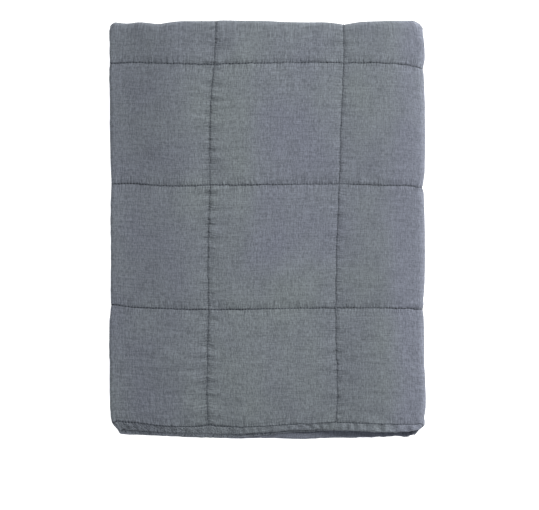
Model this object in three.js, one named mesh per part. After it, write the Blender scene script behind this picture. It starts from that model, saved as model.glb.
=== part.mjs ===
// A bed quilt, folded into a flat pile.
// The quilt is one piece: two plain cloths with a thin filling between them, sewn through in oblong
// blocks and hemmed all round. It is folded twice over its width, both sides to the middle and then
// shut like a book, into a strip of four layers. The strip is folded twice over its length, in half and
// in half again. Millimetres, +Z up. The pile stands on z = 0 with its middle over the origin. -Y is
// the open end, where the hems lie, +Y the closed end, -X the side of the small folds and +X that of
// the book fold.
import * as THREE from 'three';

// Driving sizes.
const CLOTH_WIDTH = 1300;
const CLOTH_LENGTH = 1700;
const BLOCK_WIDTH = 136.5; // between two lengthwise seams
const BLOCK_LENGTH = 130.5; // between two crosswise seams
const PILE_WIDTH = 334;
const PILE_LENGTH = 441.5;
const THICKNESS = 3.2; // one layer inside a block, as it is pressed in the pile
const SEAM_THICKNESS = 1.6; // where it is sewn through
const SHOULDER = 9; // from a seam to the full thickness
const HEM_WIDTH = 9.5; // from the edge to its stitching
const HEM_THICKNESS = 2.4;
const GAP = 0.45; // between two layers
const SOLE = 0.9; // seams nearer the ground than this are pressed flat on it
const MIN_STEP = 1.2; // between two stations of a section

// The strip: four layers, one PITCH apart.
const PITCH = THICKNESS + GAP;
const SMALL_TURN = PITCH / 2;
const BOOK_TURN = 1.5 * PITCH;
const STRIP_PITCH = 4 * PITCH;
const HALF_STRIP = (STRIP_PITCH - GAP) / 2;
const HALF_WIDTH = PILE_WIDTH / 2;
const LEFT = -HALF_WIDTH + THICKNESS / 2 + SMALL_TURN; // centre of the small folds
const RIGHT = HALF_WIDTH - THICKNESS / 2 - BOOK_TURN; // centre of the book fold
const PANEL = RIGHT - LEFT;
const FIRST_TOP_SEAM = LEFT + 102.5; // the third seam from the side hem
const INNER_PANEL = 3 * BLOCK_WIDTH - (FIRST_TOP_SEAM - LEFT) - Math.PI * SMALL_TURN;
const OTHER_PANEL = CLOTH_WIDTH - INNER_PANEL - 2 * PANEL - Math.PI * (2 * SMALL_TURN + BOOK_TURN);

// The pile: four strips, one STRIP_PITCH apart.
const HALF_LENGTH = PILE_LENGTH / 2;
const FOLD_TURN = STRIP_PITCH / 2;
const WALL_TURN = 9.5; // where the strip turns over the closed end
const WALL_AT = HALF_LENGTH - HALF_STRIP;
const WALL_START = WALL_AT - WALL_TURN;
const TOP_HEM = -HALF_LENGTH + 6.5;
const TOP_LEVEL = 3.5 * STRIP_PITCH;
const WALL = TOP_LEVEL - STRIP_PITCH / 2 - 2 * WALL_TURN;
const FRONT_FOLD = -HALF_LENGTH + FOLD_TURN + HALF_STRIP + 7;
const INNER_FOLD = WALL_AT - 2 * HALF_STRIP - FOLD_TURN - 7.5;
const OUTER_STRIPS = 2 * WALL_START - TOP_HEM - FRONT_FOLD + WALL + Math.PI * WALL_TURN;
const LAST_STRIP = CLOTH_LENGTH - OUTER_STRIPS - (INNER_FOLD - FRONT_FOLD) - 2 * Math.PI * FOLD_TURN;

// Sections, leg by leg, from one hem to the other: a straight run, or a turn of so many degrees, to the
// right if positive, in so many steps. Only the legs whose seams show are `sewn` in blocks. `out` is how
// far that layer's end hem stands out, and `aside` shifts the strip in X.
const WIDTH_LEGS = [
  { name: 'first inner panel', run: INNER_PANEL, out: 4 },
  { name: 'small fold', turn: 180, radius: SMALL_TURN, steps: 3, out: 2 },
  { name: 'top panel', run: PANEL, sewn: true, out: 0 },
  { name: 'book fold', turn: 180, radius: BOOK_TURN, steps: 5, out: 1 },
  { name: 'under panel', run: PANEL, out: 4.5 },
  { name: 'second small fold', turn: 180, radius: SMALL_TURN, steps: 3, out: 4 },
  { name: 'second inner panel', run: OTHER_PANEL, out: 6.5 },
];
const LENGTH_LEGS = [
  { name: 'top strip', run: WALL_START - TOP_HEM, sewn: true, aside: 0 },
  { name: 'upper corner', turn: 90, radius: WALL_TURN, steps: 3, aside: 0 },
  { name: 'wall of the closed end', run: WALL, aside: -0.3 },
  { name: 'lower corner', turn: 90, radius: WALL_TURN, steps: 3, aside: -0.6 },
  { name: 'bottom strip', run: WALL_START - FRONT_FOLD, sewn: true, aside: -1 },
  { name: 'front fold', turn: 180, radius: FOLD_TURN, steps: 4, aside: -1.5 },
  { name: 'inner strip', run: INNER_FOLD - FRONT_FOLD, sewn: true, aside: -2 },
  { name: 'inner fold', turn: -180, radius: FOLD_TURN, steps: 4, aside: -1.5 },
  { name: 'last strip', run: LAST_STRIP, sewn: true, aside: -1 },
];

// The pile sinks towards its edges: the share of its height that is gone at each place, straight in
// between.
const DROP_OVER_WIDTH = [
  { at: -HALF_WIDTH, drop: 0.12 },
  { at: -80, drop: 0 },
  { at: 108, drop: 0 },
  { at: HALF_WIDTH, drop: 0.08 },
];
const DROP_OVER_LENGTH = [
  { at: -HALF_LENGTH, drop: 0.09 },
  { at: -148, drop: 0 },
  { at: 168, drop: 0 },
  { at: HALF_LENGTH, drop: 0.03 },
];

// How far a corner of the pile is drawn in along X, and from how far off.
const CORNERS = [
  { name: 'front left', side: -1, end: -1, draw: 9, reach: 20 },
  { name: 'front right', side: 1, end: -1, draw: 7, reach: 14 },
  { name: 'back left', side: -1, end: 1, draw: 4, reach: 10 },
  { name: 'back right', side: 1, end: 1, draw: 12, reach: 24 },
];
const SEAM_DRAW = 1.5; // how far a crosswise seam draws in the sides
const DRAW_REACH = 60; // how far into the pile the drawn sides are felt
const FOLD_BAND = 14; // the outermost part of a side, which is shifted as a whole

const { clamp, degToRad, mapLinear } = THREE.MathUtils;

function dropAt(table, place) {
  const next = table.findIndex((row) => place <= row.at);
  if (next <= 0) return table.at(next).drop;
  const [low, high] = [table[next - 1], table[next]];
  return mapLinear(place, low.at, high.at, low.drop, high.drop);
}

// Lays the legs end to end: each gets the cloth length, point and heading at which it starts and its own
// length and curvature.
function layOut(legs, start, heading) {
  const placed = [];
  let next = { from: 0, start, angle: degToRad(heading) };
  legs.forEach((leg) => {
    const bend = leg.run === undefined ? -Math.sign(leg.turn) / leg.radius : 0;
    const length = leg.run ?? degToRad(Math.abs(leg.turn)) * leg.radius;
    const laid = { ...leg, ...next, bend, length };
    placed.push(laid);
    const { point, angle } = pointOn(laid, laid.from + length);
    next = { from: laid.from + length, start: point, angle };
  });
  return placed;
}

function pointOn(leg, at) {
  const along = at - leg.from;
  const angle = leg.angle + leg.bend * along;
  const step = leg.bend
    ? new THREE.Vector2(Math.sin(angle) - Math.sin(leg.angle), Math.cos(leg.angle) - Math.cos(angle))
    : new THREE.Vector2(Math.cos(angle), Math.sin(angle));
  return { point: step.multiplyScalar(leg.bend ? 1 / leg.bend : along).add(leg.start), angle };
}

// The seams along a section: those on its sewn legs, and the stitching of both hems.
function seamLines(legs, length, block) {
  const count = Math.round(length / block) - 1;
  const seams = Array.from({ length: count }, (_, k) => (k + 1) * block).filter((seam) =>
    legs.some((leg) => leg.sewn && seam > leg.from && seam < leg.from + leg.length));
  return [HEM_WIDTH, ...seams, length - HEM_WIDTH];
}

// The cloth lengths at which a section has a station, the most important ones first.
function stationLengths(legs, length, seams, drops) {
  const turns = legs.filter((leg) => leg.bend).flatMap((leg) =>
    Array.from({ length: leg.steps + 1 }, (_, k) => leg.from + (k / leg.steps) * leg.length));
  const knots = legs.filter((leg) => !leg.bend).flatMap((leg) =>
    drops.map((row) => leg.from + (row.at - leg.start.x) * Math.cos(leg.angle))
      .filter((at) => Math.abs(Math.cos(leg.angle)) > 0.5 && at > leg.from && at < leg.from + leg.length));
  const shoulders = seams.flatMap((seam) => [seam - SHOULDER, seam + SHOULDER]);
  const lengths = [];
  for (const at of [0, length, ...seams, ...turns, ...knots, ...shoulders]) {
    if (lengths.every((other) => Math.abs(other - at) >= MIN_STEP)) lengths.push(at);
  }
  return lengths.sort((a, b) => a - b);
}

// The stations of a section: its point there, the unit normal on the left of the way it goes, the
// thickness of the cloth, how much of a seam is felt, and the leg it is on.
function section(legs, start, heading, length, block, drops) {
  const laid = layOut(legs, start, heading);
  const seams = seamLines(laid, length, block);
  return stationLengths(laid, length, seams, drops).map((at) => {
    const leg = laid.findLast((one) => one.from <= at + 1e-6);
    const { point, angle } = pointOn(leg, at);
    const toSeam = Math.min(...seams.map((seam) => Math.abs(seam - at)));
    const toEdge = Math.min(at, length - at);
    const pinch = 1 - clamp(toSeam / SHOULDER, 0, 1);
    const thickness = toEdge < HEM_WIDTH
      ? mapLinear(toEdge, 0, HEM_WIDTH, HEM_THICKNESS, SEAM_THICKNESS)
      : mapLinear(pinch, 0, 1, THICKNESS, SEAM_THICKNESS);
    return { leg, point, normal: new THREE.Vector2(-Math.sin(angle), Math.cos(angle)), thickness, pinch };
  });
}

const acrossStart = new THREE.Vector2(LEFT + INNER_PANEL, PITCH / 2);
const across = section(WIDTH_LEGS, acrossStart, 180, CLOTH_WIDTH, BLOCK_WIDTH, DROP_OVER_WIDTH);
const alongStart = new THREE.Vector2(TOP_HEM, TOP_LEVEL);
const along = section(LENGTH_LEGS, alongStart, 0, CLOTH_LENGTH, BLOCK_LENGTH, DROP_OVER_LENGTH);

// How far a point at x, y is drawn in towards the middle line, by the corners and by a seam.
function drawnIn(x, y, pinch) {
  const side = Math.sign(x);
  const felt = clamp((side * x - (HALF_WIDTH - DRAW_REACH - FOLD_BAND)) / DRAW_REACH, 0, 1);
  const corners = CORNERS.filter((corner) => corner.side === side).map(({ end, draw, reach }) => {
    const near = clamp(1 - (HALF_LENGTH - end * y) / reach, 0, 1);
    return draw * near * near;
  });
  return -side * felt * Math.max(SEAM_DRAW * pinch, ...corners);
}

// A point of the folded quilt. `side` is 1 on the face cloth and -1 on the back cloth.
function folded(i, j, side) {
  const w = across[i];
  const l = along[j];
  const half = (side * Math.min(w.thickness, l.thickness)) / 2;
  const x = w.point.x + half * w.normal.x;
  const rise = w.point.y + half * w.normal.y;
  const y = l.point.x + l.normal.x * rise;
  const height = 1 - dropAt(DROP_OVER_WIDTH, x) - dropAt(DROP_OVER_LENGTH, y);
  const z = height * (l.point.y + l.normal.y * rise - GAP / 2);
  const out = j === 0 || j === along.length - 1 ? w.leg.out : 0;
  return [x + l.leg.aside + drawnIn(x, y, l.pinch), y - out, z < SOLE ? 0 : z];
}

// The closed mesh: the face cloth, the back cloth and the rim that joins them round the hem.
function quiltGeometry() {
  const columns = across.length;
  const rows = along.length;
  const positions = [];
  for (const side of [1, -1]) {
    for (let j = 0; j < rows; j += 1) {
      for (let i = 0; i < columns; i += 1) positions.push(...folded(i, j, side));
    }
  }
  const face = (i, j) => j * columns + i;
  const back = (i, j) => rows * columns + face(i, j);
  const indices = [];
  const quad = (a, b, c, d) => indices.push(a, b, c, a, c, d);
  for (let j = 0; j < rows - 1; j += 1) {
    for (let i = 0; i < columns - 1; i += 1) {
      quad(face(i, j), face(i + 1, j), face(i + 1, j + 1), face(i, j + 1));
      quad(back(i, j), back(i, j + 1), back(i + 1, j + 1), back(i + 1, j));
    }
  }
  for (let i = 0; i < columns - 1; i += 1) {
    quad(face(i, 0), back(i, 0), back(i + 1, 0), face(i + 1, 0));
    quad(face(i, rows - 1), face(i + 1, rows - 1), back(i + 1, rows - 1), back(i, rows - 1));
  }
  for (let j = 0; j < rows - 1; j += 1) {
    quad(face(0, j), face(0, j + 1), back(0, j + 1), back(0, j));
    quad(face(columns - 1, j), back(columns - 1, j), back(columns - 1, j + 1), face(columns - 1, j + 1));
  }
  const geometry = new THREE.BufferGeometry();
  geometry.setAttribute('position', new THREE.Float32BufferAttribute(positions, 3));
  geometry.setIndex(indices);
  return geometry;
}

// Puts the middle of the pile over the origin.
function centred(geometry) {
  geometry.computeBoundingBox();
  const { min, max } = geometry.boundingBox;
  geometry.translate(-(min.x + max.x) / 2, -(min.y + max.y) / 2, 0);
  geometry.computeVertexNormals();
  return geometry;
}

const clothMaterial = new THREE.MeshStandardMaterial({ color: 0x72777e, roughness: 0.95, metalness: 0 });
const quilt = new THREE.Mesh(centred(quiltGeometry()), clothMaterial);
quilt.name = 'quilt';

const group = new THREE.Group();
group.name = 'folded_quilt';
group.add(quilt);
export default group;
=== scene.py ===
"""A bed quilt, folded into a flat pile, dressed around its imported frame.

The quilt is modelled as a flat slab of cloth. U runs over its width from one side hem and V over its
length from the top hem, both in millimetres, and the slab's face and back skins lie at 1 and -1. The fold
then turns each point of the slab to its place in the pile, in metres.
"""

from __future__ import annotations

import logging
import math
import sys
from collections.abc import Callable, Mapping, Sequence
from dataclasses import dataclass, field
from enum import Enum
from typing import Any

import bpy
import numpy as np
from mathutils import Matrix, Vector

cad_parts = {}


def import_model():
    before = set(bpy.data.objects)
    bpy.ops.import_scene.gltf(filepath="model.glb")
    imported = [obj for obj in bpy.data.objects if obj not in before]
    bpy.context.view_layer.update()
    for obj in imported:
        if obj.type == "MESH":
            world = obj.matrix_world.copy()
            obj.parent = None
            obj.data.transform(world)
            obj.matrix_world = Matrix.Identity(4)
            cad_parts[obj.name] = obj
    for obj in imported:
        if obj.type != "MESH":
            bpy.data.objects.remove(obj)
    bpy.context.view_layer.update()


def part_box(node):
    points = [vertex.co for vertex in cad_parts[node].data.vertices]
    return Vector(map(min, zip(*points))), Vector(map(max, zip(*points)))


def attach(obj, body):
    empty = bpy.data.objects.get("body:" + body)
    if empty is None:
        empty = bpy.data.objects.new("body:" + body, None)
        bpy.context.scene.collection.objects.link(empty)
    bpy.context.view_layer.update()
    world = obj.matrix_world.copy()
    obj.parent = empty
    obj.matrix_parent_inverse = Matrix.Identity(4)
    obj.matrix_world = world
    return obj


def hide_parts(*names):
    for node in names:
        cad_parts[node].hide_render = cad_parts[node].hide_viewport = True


LOG = logging.getLogger("folded_quilt")
MM = 0.001
Field = np.ndarray
Colour = tuple[float, float, float, float]


class Skin(Enum):
    """The two sides of the slab of cloth, and the middle of its rim."""

    FACE = 1.0
    RIM = 0.0
    BACK = -1.0


# ---------------------------------------------------------------------------------------------------
# Small helpers for curves and random fields.
# ---------------------------------------------------------------------------------------------------


def ease(at: Field, low: float, high: float) -> Field:
    """Rise smoothly from 0 at low to 1 at high."""
    share = np.clip((at - low) / (high - low), 0.0, 1.0)
    return share * share * (3.0 - 2.0 * share)


def fall(at: Field, low: float, high: float) -> Field:
    """Fall smoothly from 1 at low to 0 at high."""
    return 1.0 - ease(at, low, high)


def near(away: Field, reach: float) -> Field:
    """Fall from 1 at nought to 0 at the reach, and ever more gently."""
    return np.clip(1 - away / reach, 0.0, 1.0) ** 2


def fade(away: Field, reach: Field | float) -> Field:
    """Fade from 1 at nought, to about a third at the reach."""
    return np.exp(-away / reach)


def bell(at: Field, width: Field | float) -> Field:
    """Follow a bell curve, which is 1 at nought and has nearly ended at twice its width."""
    return np.exp(-((at / width) ** 2))


def past_nearest(at: Field, seams: Field) -> Field:
    """Find how far places are past the nearest of some seams; it is negative before the seam."""
    offsets = at[:, None] - seams[None, :]
    return offsets[np.arange(len(at)), np.abs(offsets).argmin(axis=1)]


def smooth_curve(at: Field, knots: Sequence[float], values: Sequence[float]) -> Field:
    """Follow a smooth curve through a few knots, which doesn't rise or fall past any of them.

    Args:
        at: The places to look at, held to the range of the knots.
        knots: Where the curve's values are given, in rising order.
        values: The value at each knot.

    Returns:
        The curve's value at each place.
    """
    x, y = np.asarray(knots, float), np.asarray(values, float)
    rise = np.diff(y) / np.diff(x)
    both = rise[:-1] * rise[1:]
    inner = np.where(both > 0, 2 * both / np.where(both > 0, rise[:-1] + rise[1:], 1.0), 0.0)
    slope = np.concatenate([[0.0], inner, [0.0]])
    place = np.clip(at, x[0], x[-1])
    k = np.clip(np.searchsorted(x, place, side="right") - 1, 0, len(x) - 2)
    span = x[k + 1] - x[k]
    t = (place - x[k]) / span
    start = (1 + 2 * t) * (1 - t) ** 2 * y[k] + t * (1 - t) ** 2 * span * slope[k]
    end = t * t * (3 - 2 * t) * y[k + 1] + t * t * (t - 1) * span * slope[k + 1]
    return start + end


@dataclass(frozen=True)
class Ripple:
    """A smooth random field over the cloth, mostly between -1 and 1.

    Attributes:
        seed: What its random numbers start from.
        cell_u: Size of its cells over U, in millimetres.
        cell_v: Size of its cells over V, in millimetres.
        slant: How far the cells lean over U for each millimetre of V.
    """

    seed: int
    cell_u: float
    cell_v: float
    slant: float = 0.0

    PERIOD = 509  # cells, after which the field repeats

    def at(self, u: Field, v: Field) -> Field:
        """Look the field up.

        Args:
            u: Places over the width, in millimetres.
            v: Places over the length, in millimetres.

        Returns:
            The field's value at each place.
        """
        lattice = np.random.default_rng(self.seed).uniform(-1.0, 1.0, (self.PERIOD, self.PERIOD))
        x, y = (u + self.slant * v) / self.cell_u, v / self.cell_v
        i, j = np.floor(x).astype(int), np.floor(y).astype(int)
        s, t = ease(x - i, 0.0, 1.0), ease(y - j, 0.0, 1.0)
        low, high = (
            lattice[i % self.PERIOD, row % self.PERIOD] * (1 - s)
            + lattice[(i + 1) % self.PERIOD, row % self.PERIOD] * s
            for row in (j, j + 1)
        )
        return low * (1 - t) + high * t


# ---------------------------------------------------------------------------------------------------
# The fold.
# ---------------------------------------------------------------------------------------------------


@dataclass(frozen=True)
class Leg:
    """One leg of a section through the folded cloth.

    Attributes:
        length: Its length along the middle of the cloth.
        bend: How much it turns to the left for each millimetre; 0 if it is straight.
        step: The longest step between its stations.
    """

    length: float
    bend: float = 0.0
    step: float = 24.0

    @classmethod
    def turn(cls, degrees_right: float, radius: float, steps: int) -> Leg:
        """Make a turn, to the right if its degrees are positive, with some steps between its stations."""
        length = math.radians(abs(degrees_right)) * radius
        return cls(length, -math.copysign(1.0 / radius, degrees_right), length / steps)


class Section:
    """A section through the folded cloth: its legs, laid end to end."""

    CLOSEST = 0.5  # stations closer together than this, in millimetres, are one
    SLACK = 0.25  # the share of a step by which a gap may be too long

    def __init__(self, start: tuple[float, float], heading: float, legs: Sequence[Leg]) -> None:
        """Lay the legs out.

        Args:
            start: Where the section starts.
            heading: Which way it starts, in degrees from the first axis.
            legs: The legs in order.
        """
        self.legs = tuple(legs)
        self.starts = np.concatenate([[0.0], np.cumsum([leg.length for leg in legs])])
        self.bends = np.array([leg.bend for leg in legs])
        point, angle = np.array(start, float), math.radians(heading)
        points, angles = [], []
        for leg in legs:
            points.append(point)
            angles.append(angle)
            point = point + self._moved(np.array([angle]), np.array([leg.bend]), np.array([leg.length]))[0]
            angle += leg.bend * leg.length
        self.points, self.angles = np.array(points), np.array(angles)

    @property
    def length(self) -> float:
        """The length of the whole section."""
        return float(self.starts[-1])

    @staticmethod
    def _moved(angle: Field, bend: Field, along: Field) -> Field:
        """Find how far a leg has gone from its start.

        Args:
            angle: Heading at the leg's start.
            bend: The leg's bend.
            along: Length gone along it.

        Returns:
            The two coordinates of the way gone, in rows.
        """
        straight = np.stack([np.cos(angle), np.sin(angle)], axis=-1) * along[:, None]
        safe = np.where(bend == 0.0, 1.0, bend)
        end = angle + bend * along
        round_ = np.stack([np.sin(end) - np.sin(angle), np.cos(angle) - np.cos(end)], axis=-1)
        return np.where((bend == 0.0)[:, None], straight, round_ / safe[:, None])

    def place(self, at: Field) -> tuple[Field, Field]:
        """Find the points of the section at some cloth lengths.

        Args:
            at: The cloth lengths.

        Returns:
            The points and their unit normals on the left, in rows.
        """
        k = np.clip(np.searchsorted(self.starts, at, side="right") - 1, 0, len(self.legs) - 1)
        along = at - self.starts[k]
        angle, bend = self.angles[k], self.bends[k]
        end = angle + bend * along
        return (
            self.points[k] + self._moved(angle, bend, along),
            np.stack([-np.sin(end), np.cos(end)], axis=-1),
        )

    def stations(self, seams: Sequence[float], band: float, hem: Sequence[float]) -> Field:
        """Choose where the cloth is cut into faces.

        Args:
            seams: Where the seams are.
            band: How far on each side of a seam there is a station.
            hem: How far from each end there are stations.

        Returns:
            The cloth lengths of the stations, in rising order.
        """
        wanted = [0.0, self.length, *hem, *(self.length - inset for inset in hem)]
        wanted.extend(seam + side * band for seam in seams for side in (0, -1, 1))
        for start, leg in zip(self.starts, self.legs, strict=False):
            count = round(leg.length / leg.step) if leg.bend else 1
            wanted.extend(start + leg.length * k / count for k in range(count + 1))
        chosen: list[float] = []
        for at in wanted:
            if all(abs(at - other) >= self.CLOSEST for other in chosen):
                chosen.append(at)
        ordered = sorted(chosen)
        filled: list[float] = []
        for low, high in zip(ordered, ordered[1:], strict=False):
            k = int(np.searchsorted(self.starts, (low + high) / 2, side="right")) - 1
            count = max(1, math.ceil((high - low) / self.legs[k].step - self.SLACK))
            filled.extend(low + (high - low) * n / count for n in range(count))
        return np.array([*filled, ordered[-1]])


@dataclass(frozen=True)
class Bow:
    """How far one crosswise line of the top strip is bowed towards the hem, in millimetres.

    Attributes:
        at: Where the line is over V.
        shifts: Its shift at each of BOW_PLACES.
    """

    at: float
    shifts: tuple[float, ...]


@dataclass(frozen=True)
class Corner:
    """How a corner of the pile is drawn in.

    Attributes:
        draw: How far its end is drawn in, in millimetres.
        reach: How far from the end it starts.
    """

    draw: float
    reach: float

    def at(self, away: Field) -> Field:
        """Find how far it is drawn in at some distances from the pile's end."""
        return self.draw * near(away, self.reach)


@dataclass(frozen=True)
class Taper:
    """How a side of the pile is drawn in towards its front.

    Attributes:
        draw: How far it is drawn in at the front, in millimetres.
        full: How far from the front that still is so.
        reach: How far from the front it starts.
    """

    draw: float
    full: float
    reach: float

    def at(self, away: Field) -> Field:
        """Find how far it is drawn in at some distances from the front."""
        return self.draw * fall(away, self.full, self.reach)


@dataclass
class Pile:
    """The folded pile: the sizes of the cloth, and the fold that lays it.

    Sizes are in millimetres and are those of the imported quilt.
    """

    low: tuple[float, float, float]
    high: tuple[float, float, float]
    cloth_width: float = 1300.0
    cloth_length: float = 1700.0
    block_width: float = 136.5
    block_length: float = 130.5
    thickness: float = 3.2
    gap: float = 0.45
    wall_turn: float = 9.5
    fine_step: float = 11.2  # between the stations of the layer that shows
    wall_step: float = 8.5  # between those of the closed end
    first_top_seam: float = 102.5  # from the centre of the small fold
    top_hem_inset: float = 6.5
    front_fold_inset: float = 7.0
    inner_fold_inset: float = 7.5
    side_spread: float = 1.1  # how much wider than a strip the pile is
    back_square: float = 6.5  # how square the closed end is; 2 would be round
    seam_wander: float = 0.45
    seam_squeeze: float = 0.06  # the share of a strip's height that is lost at a crosswise seam
    floor_reach: float = 0.9  # how high a crosswise seam may lie and still be on the floor
    left_sink: float = 0.165  # the shares of the pile's height that are lost at its edges
    back_left_sink: float = 0.09
    right_sink: float = 0.08
    right_edge_sink: float = 0.045
    right_half_sink: float = 0.05
    front_sink: float = 0.06
    front_edge_sink: float = 0.06
    far_right_rise: float = 0.022
    back_rise: float = 0.035
    across: Section = field(init=False)
    along: Section = field(init=False)

    WANDER_U, WANDER_V = Ripple(61, 30.0, 4.2), Ripple(62, 4.2, 30.0)
    SIDE_STRAY, END_STRAY = Ripple(51, 52.0, 7.0), Ripple(52, 60.0, 9.0)
    BACK_RIGHT, FRONT_RIGHT, BACK_LEFT = Corner(5.0, 8.0), Corner(8.5, 11.0), Corner(3.2, 8.0)
    UNDER_RIGHT = Taper(9.6, 7.2, 12.5)  # of the layers under the top one
    FRONT_LEFT, LEFT_TIP = Taper(1.7, 8.0, 36.0), Taper(7.2, 5.0, 17.0)
    BOW_PLACES = (-167.0, -140.0, -105.0, -80.0, -62.0, -35.0, 0.0, 40.0, 77.0, 100.0, 130.0, 150.0, 167.0)
    BOWS = (
        Bow(0.0, (0.0, 0.0, 0.0, 0.0, 0.0, 0.0, 0.0, 0.0, 0.0, 0.0, 0.0, 0.0, 0.0)),
        Bow(9.0, (0.6, 1.1, 3.4, 3.0, 0.5, 2.7, 3.9, 4.3, 1.1, 0.9, 0.5, 2.3, 4.5)),
        Bow(130.5, (-4.2, -1.5, -0.2, 0.8, 0.9, 0.9, 0.0, -0.7, -0.8, -0.9, -0.7, -0.5, 0.8)),
        Bow(261.0, (-2.3, -1.9, 0.5, 0.6, -0.8, -0.5, -1.0, -1.4, -1.6, -1.0, -0.3, 0.4, 2.2)),
        Bow(391.5, (0.2, -0.3, 1.1, 2.2, 2.7, 1.5, 0.8, -0.1, 0.4, 0.5, 1.2, 3.1, 6.8)),
    )
    DRIFT_PLACES = (
        *(0.0, 20.0, 45.0, 80.0, 115.0, 130.0, 150.0, 200.0, 225.0),
        *(260.0, 300.0, 330.0, 350.0, 375.0, 400.0, 425.0, 470.0, 600.0),
    )
    LEFT_DRIFTS = (
        *(-0.7, -1.9, -2.7, -1.8, -1.4, -0.6, -1.4, -1.2, -0.3),
        *(0.9, 0.6, 0.8, 1.5, 3.7, 5.8, 7.3, 7.3, 0.0),
    )
    RIGHT_DRIFTS = (
        *(-3.5, -1.6, -0.9, -1.7, -2.6, -2.5, -2.4, -1.6, -0.4),
        *(0.8, 2.2, 3.0, 4.0, 5.0, 6.0, 5.8, 5.8, 0.0),
    )
    HEM_PLACES = (
        *(-167.0, -155.0, -137.0, -110.0, -85.0, -60.0, -30.0, 0.0),
        *(40.0, 62.0, 77.0, 100.0, 136.0, 146.0, 156.0, 167.0),
    )
    TOP_HEM = (9.6, 8.9, 7.7, 6.3, 5.6, 4.9, 4.8, 6.6, 9.0, 9.4, 8.8, 7.8, 6.4, 7.2, 8.0, 10.4)
    SECOND_HEM = (5.2, 4.0, 3.3, 2.4, 1.3, 0.7, 0.9, 3.5, 6.5, 7.5, 8.0, 9.0, 10.0, 10.0, 10.0, 10.0)
    LOWER_HEM = (4.6, 3.5, 3.2, 3.4, 2.4, 0.7, -0.4, 0.0, -0.9, 0.2, 0.4, 0.6, 1.6, 2.9, 0.8, 2.6)
    WALL_PLACES = (
        *(-167.0, -150.0, -139.0, -114.0, -107.0, -88.0, -50.0),
        *(-10.0, 39.0, 62.0, 82.0, 102.0, 150.0, 167.0),
    )
    WALL_LINE = (0.0, -1.7, -0.7, -2.6, -1.3, 0.6, 1.2, 0.7, -1.1, -0.8, -1.5, -0.3, 0.7, 1.3)
    LEFT_PLACES = (-221.0, -186.0, -106.0, -82.0, -55.0, -27.0, 26.0, 52.0, 80.0, 132.0, 160.0, 221.0)
    LEFT_LINE = (0.0, 0.1, -0.3, 0.6, 1.0, 1.3, 0.8, 1.3, 0.7, 0.5, -0.4, -0.3)
    RIGHT_PLACES = (
        *(-221.0, -206.0, -198.0, -189.0, -133.0, -94.0, -82.0, -66.0, -27.0),
        *(26.0, 50.0, 62.0, 132.0, 159.0, 186.0, 200.0, 212.0, 221.0),
    )
    RIGHT_LINE = (
        *(-0.4, -0.3, 0.1, -1.1, 0.6, 0.8, 1.4, 0.6, -0.3),
        *(0.3, 0.3, -0.3, -0.3, 0.2, -0.5, 0.7, 2.2, 1.6),
    )

    def __post_init__(self) -> None:
        """Work out the two sections from the sizes."""
        width = self.high[0] - self.low[0] - self.side_spread
        length = self.high[1] - self.low[1]
        self.half_width, self.half_length = width / 2, length / 2
        self.pitch = self.thickness + self.gap
        self.small_turn, self.book_turn = self.pitch / 2, 1.5 * self.pitch
        self.strip_pitch = 4 * self.pitch
        self.half_strip = (self.strip_pitch - self.gap) / 2
        left = -self.half_width + self.thickness / 2 + self.small_turn
        right = self.half_width - self.thickness / 2 - self.book_turn
        panel = right - left
        inner = 3 * self.block_width - self.first_top_seam - math.pi * self.small_turn
        turns = math.pi * (2 * self.small_turn + self.book_turn)
        other = self.cloth_width - inner - 2 * panel - turns
        self.across = Section(
            (left + inner, self.pitch / 2),
            180.0,
            [
                Leg(inner),
                Leg.turn(180, self.small_turn, 4),
                Leg(panel, step=self.fine_step),
                Leg.turn(180, self.book_turn, 6),
                Leg(panel),
                Leg.turn(180, self.small_turn, 4),
                Leg(other),
            ],
        )
        fold_turn = self.strip_pitch / 2
        wall_at = self.half_length - self.half_strip
        wall_start = wall_at - self.wall_turn
        top_hem = -self.half_length + self.top_hem_inset
        top_level = 3.5 * self.strip_pitch
        wall = top_level - self.strip_pitch / 2 - 2 * self.wall_turn
        front = -self.half_length + fold_turn + self.half_strip + self.front_fold_inset
        back = wall_at - 2 * self.half_strip - fold_turn - self.inner_fold_inset
        first = [
            Leg(wall_start - top_hem, step=self.fine_step),
            Leg.turn(90, self.wall_turn, 3),
            Leg(wall, step=self.wall_step),
            Leg.turn(90, self.wall_turn, 3),
            Leg(wall_start - front),
            Leg.turn(180, fold_turn, 8),
            Leg(back - front),
            Leg.turn(-180, fold_turn, 8),
        ]
        last = self.cloth_length - sum(leg.length for leg in first)
        self.along = Section((top_hem, top_level), 0.0, [*first, Leg(last)])

    @property
    def lengthwise_seams(self) -> Field:
        """Where the lengthwise seams are over U."""
        return self.block_width * np.arange(1, round(self.cloth_width / self.block_width))

    @property
    def crosswise_seams(self) -> Field:
        """Where the crosswise seams are over V."""
        return self.block_length * np.arange(1, round(self.cloth_length / self.block_length))

    def _bow(self, x: Field, v: Field) -> Field:
        """Find how far the cloth's crosswise threads are bowed.

        Args:
            x: Places over the pile's width.
            v: Places over the cloth's length.

        Returns:
            The shift towards the top hem at each place.
        """
        rows = np.stack([smooth_curve(x, self.BOW_PLACES, bow.shifts) for bow in self.BOWS])
        levels = np.array([bow.at for bow in self.BOWS])
        k = np.clip(np.searchsorted(levels, v, side="right") - 1, 0, len(levels) - 2)
        share = ease(v, levels[k], levels[k + 1])
        n = np.arange(len(v))
        return (rows[k, n] * (1 - share) + rows[k + 1, n] * share) * fall(v, 400.0, 450.0)

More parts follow.
